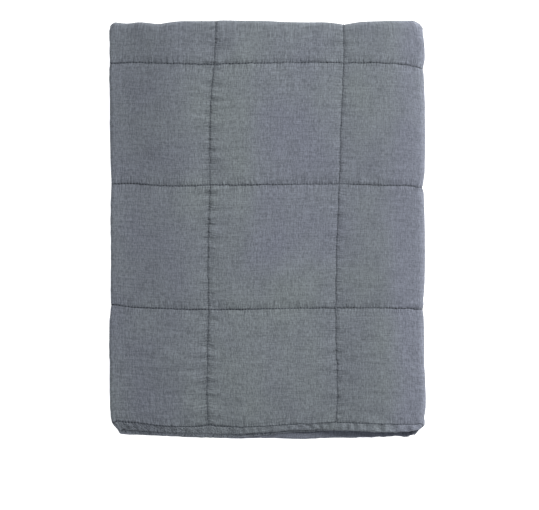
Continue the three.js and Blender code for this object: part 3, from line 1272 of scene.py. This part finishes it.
@dataclass(frozen=True)
class ClothFinish:
    """Plain slubbed weave, dyed in the piece, with painted shade in the slits, needle holes and pinches of
    its seams and in the hollows of its frayed hem, and painted light on the right part of its hem.

    Attributes:
        relief: The relief, whose seams get painted shade.
        blue: The bluest tone of the dye.
        green: The greenest tone.
        painted_slit_shade_colour: The colour of the painted shade inside a slit.
        dark: The darkest shade of the threads.
        pale: The palest shade of the threads.
        uv_map: The map that follows the threads, in metres.
        thread_pitch: The width of two threads, in metres.
        bump: How far the threads stand up, in metres.
    """

    relief: Relief
    blue: Colour = (0.159, 0.172, 0.211, 1.0)
    green: Colour = (0.164, 0.186, 0.197, 1.0)
    # The colour that the painted shade of the slits and needle holes mixes towards.
    painted_slit_shade_colour: Colour = (0.03, 0.035, 0.045, 1.0)
    dark: float = 0.68
    pale: float = 1.32
    uv_map: str = "cloth"
    thread_pitch: float = 0.00062
    bump: float = 0.0006

    PATCHES = Grain(17.0, 13.0, 3.0)
    SLUBS_ACROSS, SLUBS_ALONG = Grain(42.0, 560.0), Grain(560.0, 42.0)
    DASHES_ACROSS, DASHES_ALONG = Grain(240.0, 950.0, 1.0), Grain(1150.0, 230.0, 1.0)
    FRAYING = Grain(560.0, 430.0)
    TICKS_ACROSS, TICKS_ALONG = Grain(85.0, 640.0, 1.0), Grain(640.0, 85.0, 1.0)
    FLAT = 0.5  # the height of flat cloth among the pinches
    PINCH_TOP = 0.06  # how far above flat cloth the painted shade of the pinches ends
    LEAST_FRAY = 0.09  # how deep the fraying of a hem is where its painted shade starts

    def material(self) -> bpy.types.Material:
        """Make the material.

        Returns:
            The material.
        """
        shader = Shader("slubbed_cloth")
        threads = shader.node("ShaderNodeUVMap", {"uv_map": self.uv_map}, {})
        u, v = (shader.node("ShaderNodeSeparateXYZ", {}, {0: threads}, axis) for axis in (0, 1))
        seams = self._to_seams(u, v)
        patches = shader.noise(threads, self.PATCHES)
        slubs = (shader.noise(threads, self.SLUBS_ACROSS) + shader.noise(threads, self.SLUBS_ALONG)) * 0.5
        dashes = shader.noise(threads, self.DASHES_ACROSS) * 0.38
        dashes = dashes + shader.noise(threads, self.DASHES_ALONG) * 0.62
        crossings = u.wave(self.thread_pitch) * v.wave(self.thread_pitch)
        in_hem = 1.0 - seams.inside
        # Painted light: the right part of the hem is made paler for the light its fold catches, and its
        # painted fray shade is weakened there.
        painted_hem_light = in_hem * u.rise(0.48, 0.54)
        frayed = shader.noise(threads, self.FRAYING) * in_hem * (1.6 - u.rise(0.38, 0.48) * 0.85)
        contrast = v.fall(0.1, 0.16) * 0.12 - u.rise(0.48, 0.6) * 0.13 + 1.03
        tone = (slubs * 1.5 + dashes * 2.15 + crossings * 0.12) * contrast
        tone = tone + patches * 0.25 + frayed * 0.55 + painted_hem_light * 0.14 + 0.5
        shade = shader.mix(tone, (*[self.dark] * 3, 1.0), (*[self.pale] * 3, 1.0))
        dye = shader.mix(patches * 1.15 + self._drift(u, v), self.blue, self.green)
        ticks = shader.noise(threads, self.TICKS_ACROSS)
        pinches = self._pinches(seams, u, ticks, shader.noise(threads, self.TICKS_ALONG))
        # Painted shade in the pinches that the stitches draw up, where the bump sinks.
        painted_pinch_shade = (self.FLAT + self.PINCH_TOP - pinches).most(0.0) * 1.5
        # Painted shade in the deepest hollows of the frayed hem, weaker under the painted hem light.
        painted_fray_shade = ((0.0 - frayed).most(self.LEAST_FRAY) - self.LEAST_FRAY) * (2.8 - painted_hem_light * 1.8)
        # Painted shade: the slits, needle holes, pinches and frayed hollows are mixed towards the dark slit
        # colour.
        painted_shade = self._seam_painted_shade(seams, u, v, ticks).most(painted_pinch_shade).most(painted_fray_shade)
        height = slubs * 0.5 + dashes * 0.8 + pinches * 3.0 + frayed * 2.4 + crossings * 0.05
        weave = {"Strength": 0.6, "Distance": self.bump, "Height": height}
        return shader.finish(
            {
                "Base Color": shader.mix(
                    painted_shade, shader.mix(1.0, dye, shade, "MULTIPLY"), self.painted_slit_shade_colour
                ),
                "Roughness": 0.92 - slubs * 0.12,
                "Normal": shader.node("ShaderNodeBump", {}, weave),
                "Specular IOR Level": 0.2,
                "Sheen Weight": 0.15,
                "Sheen Roughness": 0.5,
            }
        )

    @staticmethod
    def _drift(u: Value, v: Value) -> Value:
        """Work out how the dye drifts over the width.

        Args:
            u: The threads' own place over the width.
            v: Their place over the length.

        Returns:
            How green it is, from 0 to 1.
        """
        beyond_first_row = v.rise(0.155, 0.19)
        in_middle_rows = beyond_first_row - v.rise(0.32, 0.37) * 0.6
        middle = (u.rise(0.52, 0.58) * 0.25 - u.rise(0.44, 0.465) * 0.55) * in_middle_rows
        right = u.rise(0.592, 0.622) * (0.9 - beyond_first_row * 0.35)
        return u.rise(0.365, 0.4) * 0.32 + middle - right + 0.42

    def _to_seams(self, u: Value, v: Value) -> SeamDistances:
        """Work out how far the seams are.

        Args:
            u: The threads' own place over the width.
            v: Their place over the length.

        Returns:
            The distances.
        """
        pile = self.relief.pile
        edge = u.pingpong(pile.cloth_width * MM / 2).least(v.pingpong(pile.cloth_length * MM / 2))
        hem = self.relief.hem_width * MM
        return SeamDistances(
            u.pingpong(pile.block_width * MM / 2),
            v.pingpong(pile.block_length * MM / 2),
            (edge - hem).size(),
            edge.rise(hem - 0.0002, hem + 0.0002),
        )

    def _seam_painted_shade(self, seams: SeamDistances, u: Value, v: Value, ticks: Value) -> Value:
        """Work out the painted shade in the slits of the seams, the darkest at their needle holes, with a
        painted shadow beside the first lengthwise seam.

        Args:
            seams: The distances to the seams.
            u: The threads' own place over the width.
            v: Their place over the length.
            ticks: A noise of short marks over the width, which frays the slits.

        Returns:
            The painted shade, from 0 to 1.
        """
        fray = (ticks + 0.02).most(0.0) * (0.014 - u.rise(0.44, 0.5) * 0.009)
        lengthwise = self._slit_painted_shade(seams.lengthwise, v, fray + 0.0008, 0.58)
        # How dark the painted shade of the crosswise slits is: lighter towards the right, and darker near the
        # hem where V starts.
        crosswise_painted_shade = 0.95 - u.rise(0.42, 0.55) * 0.28 + v.fall(0.14, 0.2) * 0.16
        crosswise = self._slit_painted_shade(seams.crosswise, u, 0.0011, crosswise_painted_shade)
        hem = self._slit_painted_shade(seams.hem, u, 0.0014 - u.rise(0.38, 0.5) * 0.0005, 0.98 - u.rise(0.4, 0.52) * 0.14)
        # A painted shadow along the right side of the first lengthwise seam.
        shade = u.rise(0.4093, 0.4097) * u.fall(0.4099, 0.4148) * 0.13
        return (lengthwise.most(crosswise) * seams.inside).most(hem).most(shade)

    def _pinches(self, seams: SeamDistances, u: Value, across: Value, along: Value) -> Value:
        """Work out the small pinches that the stitches draw up on both sides of the seams.

        Args:
            seams: The distances to the seams.
            u: The threads' own place over the width.
            across: A noise of short marks over the width.
            along: A noise of short marks over the length.

        Returns:
            Their height, which is less in a pinch than on flat cloth.
        """
        by_lengthwise = seams.lengthwise.fall(0.0, 0.012) * (0.86 - u.rise(0.43, 0.47) * 0.26)
        by_crosswise = seams.crosswise.least(seams.hem).fall(0.0, 0.013) * 0.68
        return (across * by_lengthwise + along * by_crosswise) * seams.inside + self.FLAT

    def _slit_painted_shade(self, away: Value, run: Value, reach: Value | float, painted_shade: Value | float) -> Value:
        """Work out the painted shade of one family of seams: dark in the slit, darkest at its needle holes,
        and softer beside it.

        Args:
            away: Distance from the seam.
            run: Distance along it.
            reach: How far the slit's own painted shade reaches.
            painted_shade: How dark the painted shade is at a needle hole.

        Returns:
            The painted shade, from 0 to 1.
        """
        stitch = self.relief.stitch * MM / 2
        slit = away.fall(0.0002, reach) * (painted_shade - run.pingpong(stitch) * (0.5 / stitch))
        # A soft painted shade within a few millimetres of the seam.
        return slit + away.fall(0.0002, 0.0036) * 0.11


@dataclass(frozen=True)
class ThreadFinish:
    """Matt sewing thread, coloured far darker than the cloth as painted shade of the seams it lies in.

    Attributes:
        colour: Its darker colour, which is painted shade.
        pale: Its paler colour, where it is twisted up.
        twist: The grain of its twist.
    """

    # Both colours are darkened well below the cloth's, as painted shade along the seams.
    colour: Colour = (0.055, 0.062, 0.076, 1.0)
    pale: Colour = (0.095, 0.105, 0.12, 1.0)
    twist: Grain = Grain(900.0, 900.0, 1.0)

    def material(self) -> bpy.types.Material:
        """Make the material.

        Returns:
            The material.
        """
        shader = Shader("sewing_thread")
        place = shader.node("ShaderNodeTexCoord", {}, {}, "Object")
        twist = shader.noise(place, self.twist) + 0.5
        return shader.finish(
            {
                "Base Color": shader.mix(twist, self.colour, self.pale),
                "Roughness": 0.7 + twist * 0.1,
                "Specular IOR Level": 0.25,
            }
        )


@dataclass(frozen=True)
class FloorFinish:
    """A plain pale floor, lit from under like a light table.

    Attributes:
        colour: Its colour.
        glow: How strongly it glows, in white.
    """

    colour: Colour = (0.87, 0.87, 0.87, 1.0)
    glow: float = 1.0

    def material(self) -> bpy.types.Material:
        """Make the material.

        Returns:
            The material.
        """
        shader = Shader("pale_floor")
        return shader.finish(
            {
                "Base Color": self.colour,
                "Roughness": 0.9,
                "Specular IOR Level": 0.1,
                "Emission Color": (1.0, 1.0, 1.0, 1.0),
                "Emission Strength": self.glow,
            }
        )


# ---------------------------------------------------------------------------------------------------
# Mesh work.
# ---------------------------------------------------------------------------------------------------


def coordinates(mesh: bpy.types.Mesh) -> Field:
    """Read a mesh's vertices.

    Args:
        mesh: The mesh.

    Returns:
        Their coordinates, in rows.
    """
    found = np.empty(len(mesh.vertices) * 3)
    mesh.vertices.foreach_get("co", found)
    return found.reshape(-1, 3)


def select_only(piece: bpy.types.Object) -> None:
    """Make a piece the only one selected, and the active one.

    Args:
        piece: The piece.
    """
    bpy.ops.object.select_all(action="DESELECT")
    piece.select_set(True)
    bpy.context.view_layer.objects.active = piece


def subdivide_long_edges(
    piece: bpy.types.Object, longest: float, cuts: int, where: Callable[[Field], Field]
) -> None:
    """Cut the long edges of one part of a mesh.

    Args:
        piece: The piece.
        longest: Edges up to this length are left.
        cuts: How many cuts each edge gets.
        where: Says which vertices are in that part.
    """
    mesh = piece.data
    place = coordinates(mesh)
    inside = where(place)
    ends = np.empty(len(mesh.edges) * 2, int)
    mesh.edges.foreach_get("vertices", ends)
    first, second = ends.reshape(-1, 2).T
    long = np.linalg.norm(place[first] - place[second], axis=1) > longest
    select_only(piece)
    mesh.polygons.foreach_set("select", np.zeros(len(mesh.polygons), bool))
    mesh.vertices.foreach_set("select", np.zeros(len(mesh.vertices), bool))
    mesh.edges.foreach_set("select", inside[first] & inside[second] & long)
    bpy.ops.object.mode_set(mode="EDIT")
    bpy.ops.mesh.select_mode(type="EDGE")
    bpy.ops.mesh.subdivide(number_cuts=cuts, smoothness=0.0)
    bpy.ops.object.mode_set(mode="OBJECT")


@dataclass
class Quilt:
    """The folded quilt: face cloth, filling and back cloth in one closed skin."""

    pile: Pile
    relief: Relief
    name: str = "folded_quilt"
    node: str = "quilt"
    band: float = 7.0  # the width of the faces beside a seam
    slit_band: float = 1.8  # how far from a seam the faces are finest
    crease_band: float = 2.6
    gather: float = 1.6  # how strongly the faces of a band crowd towards their seam
    rim_bulge: float = 0.5  # how far the middle of the rim stands out
    hem: tuple[float, ...] = (0.6, 2.0, 5.0, 9.0, 16.0)  # where it has stations, from its edge

    TOUCH = 0.1  # places closer than this, in millimetres, are the same

    def build(self) -> bpy.types.Object:
        """Model the quilt, give it its cloth, attach it to the root and hide the imported part.

        Returns:
            The finished piece.
        """
        piece = self._slab()
        self._refine(piece)
        self._lay(piece)
        piece.data.materials.append(ClothFinish(self.relief).material())
        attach(piece, "root")
        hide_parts(self.node)
        return piece

    def _slab(self) -> bpy.types.Object:
        """Model the flat cloth: a grid with a row at each station, and its two skins.

        Returns:
            The flat slab.
        """
        across = self.pile.across.stations(self.pile.lengthwise_seams, self.band, self.hem)
        along = self.pile.along.stations(self.pile.crosswise_seams, self.band, self.hem)
        bpy.ops.object.select_all(action="DESELECT")
        bpy.ops.mesh.primitive_grid_add(
            x_subdivisions=len(across) - 1, y_subdivisions=len(along) - 1, size=2.0, calc_uvs=False
        )
        piece = bpy.context.object
        piece.name = piece.data.name = self.name
        place = coordinates(piece.data)
        column = np.rint((place[:, 0] + 1) / 2 * (len(across) - 1)).astype(int)
        row = np.rint((place[:, 1] + 1) / 2 * (len(along) - 1)).astype(int)
        level = np.full(len(place), Skin.BACK.value)
        flat = np.stack([across[column], along[row], level], axis=-1)
        piece.data.vertices.foreach_set("co", flat.astype(np.float32).ravel())
        bpy.ops.object.mode_set(mode="EDIT")
        bpy.ops.mesh.select_all(action="SELECT")
        for _ in (Skin.RIM, Skin.FACE):
            bpy.ops.mesh.extrude_region_move(TRANSFORM_OT_translate={"value": (0.0, 0.0, 1.0)})
        bpy.ops.mesh.select_all(action="SELECT")
        bpy.ops.mesh.normals_make_consistent(inside=False)
        bpy.ops.object.mode_set(mode="OBJECT")
        return piece

    def _refine(self, piece: bpy.types.Object) -> None:
        """Cut the faces that show into finer ones, the finest along the seams.

        Args:
            piece: The flat slab.
        """
        for longest, cuts, where in (
            (5.5, 3, self._outside),
            (9.0, 4, self._end_hem),
            (1.9, 1, self._beside_seams),
            (1.9, 1, self._on_creases),
            (1.2, 1, self._in_slits),
        ):
            subdivide_long_edges(piece, longest, cuts, where)
        LOG.info("%s: %d faces", self.name, len(piece.data.polygons))

    def _outside(self, place: Field) -> Field:
        """Say which places are on the outside of the pile.

        Args:
            place: The places on the flat slab, in rows.

        Returns:
            Whether each one is.
        """
        w, s = self.pile.across.starts, self.pile.along.starts
        u, v, skin = place.T
        over = (u > w[1] - self.TOUCH) & (u < w[4] + self.TOUCH) & (skin > 0.5)
        front = (v > s[5] - self.TOUCH) & (v < s[6] + self.TOUCH)
        return over & ((v < s[4] + self.TOUCH) | front)

    def _end_hem(self, place: Field) -> Field:
        """Say which places are in the end hem."""
        return place[:, 1] < self.relief.hem_width + self.TOUCH

    def _near_seams(self, place: Field, reach: float) -> Field:
        """Say which places on top of the pile are close to a seam.

        Args:
            place: The places on the flat slab, in rows.
            reach: How close that is.

        Returns:
            Whether each one is.
        """
        w, s = self.pile.across.starts, self.pile.along.starts
        u, v, skin = place.T
        across, along = self.relief.to_seams(u, v)
        top = (u > w[2] - 12.0) & (u < w[3] + 12.0) & (v < s[1] + 1.0) & (skin > 0.5)
        return top & ((across < reach) | (along < reach) | (v < min(reach + 5.0, 9.5)))

    def _beside_seams(self, place: Field) -> Field:
        """Say which places are in the bands beside the seams."""
        return self._near_seams(place, self.band + self.TOUCH)

    def _in_slits(self, place: Field) -> Field:
        """Say which places are in the slits of the seams."""
        return self._near_seams(place, self.slit_band)

    def _on_creases(self, place: Field) -> Field:
        """Say which places are on a crease.

        Args:
            place: The places on the flat slab, in rows.

        Returns:
            Whether each one is.
        """
        u, v, skin = place.T
        felt = [share * (across < self.crease_band) for across, share in (c.away(u, v) for c in CREASES)]
        return (np.max(felt, axis=0) > 0.2) & (skin > 0.5)

    def _lay(self, piece: bpy.types.Object) -> None:
        """Fold the slab, and map its threads.

        Args:
            piece: The flat slab.
        """
        mesh = piece.data
        u, v, skin = coordinates(mesh).T
        u = self._gathered(u, self.pile.lengthwise_seams)
        v = self._gathered(v, self.pile.crosswise_seams)
        at_u, at_v = self.pile.place_of_face(u, v)
        thread_u, thread_v = self.pile.threads(at_u, at_v)
        lift = self.relief.lift(thread_u, thread_v, skin)
        at_u = at_u + self._bulge(u, self.pile.cloth_width, skin)
        at_v = at_v + self._bulge(v, self.pile.cloth_length, skin)
        place = self.pile.fold(at_u, at_v, lift)
        mesh.vertices.foreach_set("co", place.astype(np.float32).ravel())
        threads = np.stack([thread_u, thread_v], axis=-1) * MM
        corners = np.empty(len(mesh.loops), int)
        mesh.loops.foreach_get("vertex_index", corners)
        uv_map = mesh.uv_layers.new(name=ClothFinish.uv_map)
        uv_map.data.foreach_set("uv", threads[corners].astype(np.float32).ravel())
        mesh.polygons.foreach_set("use_smooth", np.ones(len(mesh.polygons), bool))
        mesh.update()

    def _bulge(self, at: Field, end: float, skin: Field) -> Field:
        """Find how far the middle of the rim stands out over one axis, which rounds the hem."""
        outwards = (at > end - self.TOUCH).astype(float) - (at < self.TOUCH)
        return self.rim_bulge * (np.abs(skin) < 0.5) * outwards

    def _gathered(self, at: Field, seams: Field) -> Field:
        """Draw the rows of faces beside the seams closer to them.

        Args:
            at: Places over one axis of the cloth.
            seams: The seams there.

        Returns:
            The shifted places.
        """
        nearest = seams[np.abs(at[:, None] - seams[None, :]).argmin(axis=1)]
        share = np.clip(np.abs(at - nearest) / self.band, 0.0, 1.0)
        gathered = nearest + np.sign(at - nearest) * self.band * share**self.gather
        return np.where(share < 1.0, gathered, at)


@dataclass
class Stitching:
    """The quilting and hem stitches that show, as short threads sunk in their seams."""

    pile: Pile
    relief: Relief
    length: float = 2.8
    radius: float = 0.34
    sag: float = 0.3  # how far the ends of a stitch dive
    rise: float = 0.1  # how far its middle lies above the bottom of the slit
    hidden: float = 4.0  # how far the rows run on or stop short at the sides
    off_hem: float = 2.0  # how far from the hem stitching the lengthwise rows start

    def build(self) -> list[bpy.types.Object]:
        """Sew the seams and the hem.

        Returns:
            The two finished pieces.
        """
        finish = ThreadFinish().material()
        w, s = self.pile.across.starts, self.pile.along.starts
        left, right, top = w[1] - self.hidden, w[4] - self.hidden, self.relief.hem_width + self.off_hem
        over = [seam for seam in self.pile.crosswise_seams if seam < s[3]]
        down = [seam for seam in self.pile.lengthwise_seams if w[2] < seam < w[3]]
        crosswise = [self._row(left, right, seam, along_u=True) for seam in over]
        lengthwise = [self._row(top, s[4], seam, along_u=False) for seam in down]
        hem = [self._row(w[1], right, self.relief.hem_width, along_u=True)]
        return [
            self._sew("quilting_stitches", crosswise, lengthwise, finish),
            self._sew("hem_stitches", hem, [], finish),
        ]

    def _row(self, low: float, high: float, seam: float, along_u: bool) -> tuple[Field, Field]:
        """Space the stitches of one seam.

        Args:
            low: Where the seam starts.
            high: Where it ends.
            seam: Where it is over the other axis.
            along_u: Whether it runs over the width of the cloth.

        Returns:
            The threads' own U and V of the stitches' middles.
        """
        pitch = self.relief.stitch
        at = (np.arange(math.ceil(low / pitch), math.floor(high / pitch)) + 0.5) * pitch
        return (at, np.full(len(at), seam)) if along_u else (np.full(len(at), seam), at)

    def _stitch(self) -> tuple[Field, list[tuple[int, ...]]]:
        """Model one stitch, lying along X, with its ends down.

        Returns:
            Its points and its faces.
        """
        bpy.ops.object.select_all(action="DESELECT")
        bpy.ops.mesh.primitive_uv_sphere_add(segments=6, ring_count=5, radius=1.0)
        stitch = bpy.context.object
        bpy.ops.object.mode_set(mode="EDIT")
        bpy.ops.mesh.select_all(action="SELECT")
        bpy.ops.transform.rotate(value=math.pi / 2, orient_axis="Y", center_override=(0.0, 0.0, 0.0))
        bpy.ops.transform.resize(value=(self.length / 2, self.radius, self.radius))
        bpy.ops.object.mode_set(mode="OBJECT")
        shape = coordinates(stitch.data)
        shape[:, 2] -= self.sag * (shape[:, 0] / (self.length / 2)) ** 2
        faces = [tuple(face.vertices) for face in stitch.data.polygons]
        bpy.data.objects.remove(stitch)
        return shape, faces

    def _sew(
        self,
        name: str,
        crosswise: Sequence[tuple[Field, Field]],
        lengthwise: Sequence[tuple[Field, Field]],
        finish: bpy.types.Material,
    ) -> bpy.types.Object:
        """Lay copies of the stitch along the seams, as one piece.

        Args:
            name: The piece's name.
            crosswise: Rows of stitches over the width of the cloth.
            lengthwise: Rows over its length.
            finish: The thread's material.

        Returns:
            The finished piece.
        """
        shape, faces = self._stitch()
        turned = shape[:, [1, 0, 2]] * (-1.0, 1.0, 1.0)
        points: list[Field] = []
        for rows, form in ((crosswise, shape), (lengthwise, turned)):
            for row_u, row_v in rows:
                level = self.relief.lift(row_u, row_v, np.ones(len(row_u))) + self.rise
                u = (row_u[:, None] + form[None, :, 0]).ravel()
                v = (row_v[:, None] + form[None, :, 1]).ravel()
                points.append(self.pile.lay(u, v, (level[:, None] + form[None, :, 2]).ravel()))
        placed = np.concatenate(points)
        count = len(placed) // len(shape)
        joined = [tuple(k * len(shape) + n for n in face) for k in range(count) for face in faces]
        mesh = bpy.data.meshes.new(name)
        mesh.from_pydata(placed, [], joined)
        mesh.polygons.foreach_set("use_smooth", np.ones(len(mesh.polygons), bool))
        mesh.materials.append(finish)
        piece = bpy.data.objects.new(name, mesh)
        bpy.context.scene.collection.objects.link(piece)
        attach(piece, "root")
        LOG.info("%s: %d stitches", name, count)
        return piece


@dataclass(frozen=True)
class Softbox:
    """A softbox that faces the pile.

    Attributes:
        name: Its name.
        place: Where it hangs.
        size: Its width and height.
        power: Its power in watts.
        colour: The colour of its light.
    """

    name: str
    place: tuple[float, float, float]
    size: float
    power: float
    colour: tuple[float, float, float]

    def hang(self) -> None:
        """Hang it."""
        bpy.ops.object.light_add(type="AREA", location=self.place)
        lamp = bpy.context.object
        lamp.name = lamp.data.name = self.name
        lamp.data.shape, lamp.data.size = "SQUARE", self.size
        lamp.data.energy, lamp.data.color = self.power, self.colour
        lamp.rotation_mode = "QUATERNION"
        lamp.rotation_quaternion = lamp.location.to_track_quat("Z", "Y")


@dataclass
class Studio:
    """The floor, the lights and the camera, in metres."""

    frame_width: float = 0.5714  # of what the camera takes in at the height of the pile's top
    aim: tuple[float, float] = (0.0034, -0.0268)
    camera_height: float = 4.0
    pile_top: float = 0.05
    sensor: float = 36.0
    floor_radius: float = 15.0
    rim: tuple[float, float] = (1.5, 2.0)  # how far out and up the floor's edge sweeps
    sky: Colour = (0.93, 0.96, 1.0, 1.0)
    sky_strength: float = 0.3
    clip: tuple[float, float] = (0.1, 100.0)

    LIGHTS = (
        Softbox("key_light", (1.55, 1.15, 1.45), 1.1, 81.0, (1.0, 0.985, 0.97)),
        Softbox("fill_light", (-1.9, -0.9, 0.42), 1.2, 9.0, (1.0, 1.0, 0.99)),
    )

    def build(self) -> None:
        """Set the studio up."""
        self._floor()
        self._sky()
        for light in self.LIGHTS:
            light.hang()
        self._camera()

    def _floor(self) -> None:
        """Lay the floor, with an edge that sweeps up all round."""
        out, up = self.rim
        bpy.ops.object.select_all(action="DESELECT")
        bpy.ops.mesh.primitive_circle_add(
            vertices=96, radius=self.floor_radius + out, fill_type="NGON", location=(0.0, 0.0, up)
        )
        bpy.ops.object.mode_set(mode="EDIT")
        bpy.ops.mesh.select_all(action="SELECT")
        bpy.ops.mesh.inset(thickness=out, depth=-up)
        bpy.ops.object.mode_set(mode="OBJECT")
        bpy.ops.object.transform_apply()
        floor = bpy.context.object
        floor.name = floor.data.name = "floor"
        floor.data.materials.append(FloorFinish().material())

    def _sky(self) -> None:
        """Light the scene evenly from all round."""
        world = bpy.data.worlds.new("studio_air")
        world.use_nodes = True
        background = world.node_tree.nodes["Background"]
        background.inputs["Color"].default_value = self.sky
        background.inputs["Strength"].default_value = self.sky_strength
        bpy.context.scene.world = world

    def _camera(self) -> None:
        """Hang the camera straight above the pile."""
        bpy.ops.object.camera_add(location=(*self.aim, self.camera_height), rotation=(0.0, 0.0, 0.0))
        camera = bpy.context.object
        camera.name = camera.data.name = "overhead_camera"
        camera.data.sensor_width = self.sensor
        camera.data.lens = self.sensor * (self.camera_height - self.pile_top) / self.frame_width
        camera.data.clip_start, camera.data.clip_end = self.clip
        bpy.context.scene.camera = camera
        bpy.context.scene.view_settings.view_transform = "Standard"


def main() -> None:
    """Build the quilt, its stitches and the studio."""
    logging.basicConfig(level=logging.INFO, format="%(name)s: %(message)s", stream=sys.stdout)
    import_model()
    low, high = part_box("quilt")
    pile = Pile(tuple(c / MM for c in low), tuple(c / MM for c in high))
    relief = Relief(pile)
    quilt = Quilt(pile, relief).build()
    LOG.info("made %s", quilt.name)
    for piece in Stitching(pile, relief).build():
        LOG.info("made %s", piece.name)
    Studio().build()


if __name__ == "__main__":
    main()
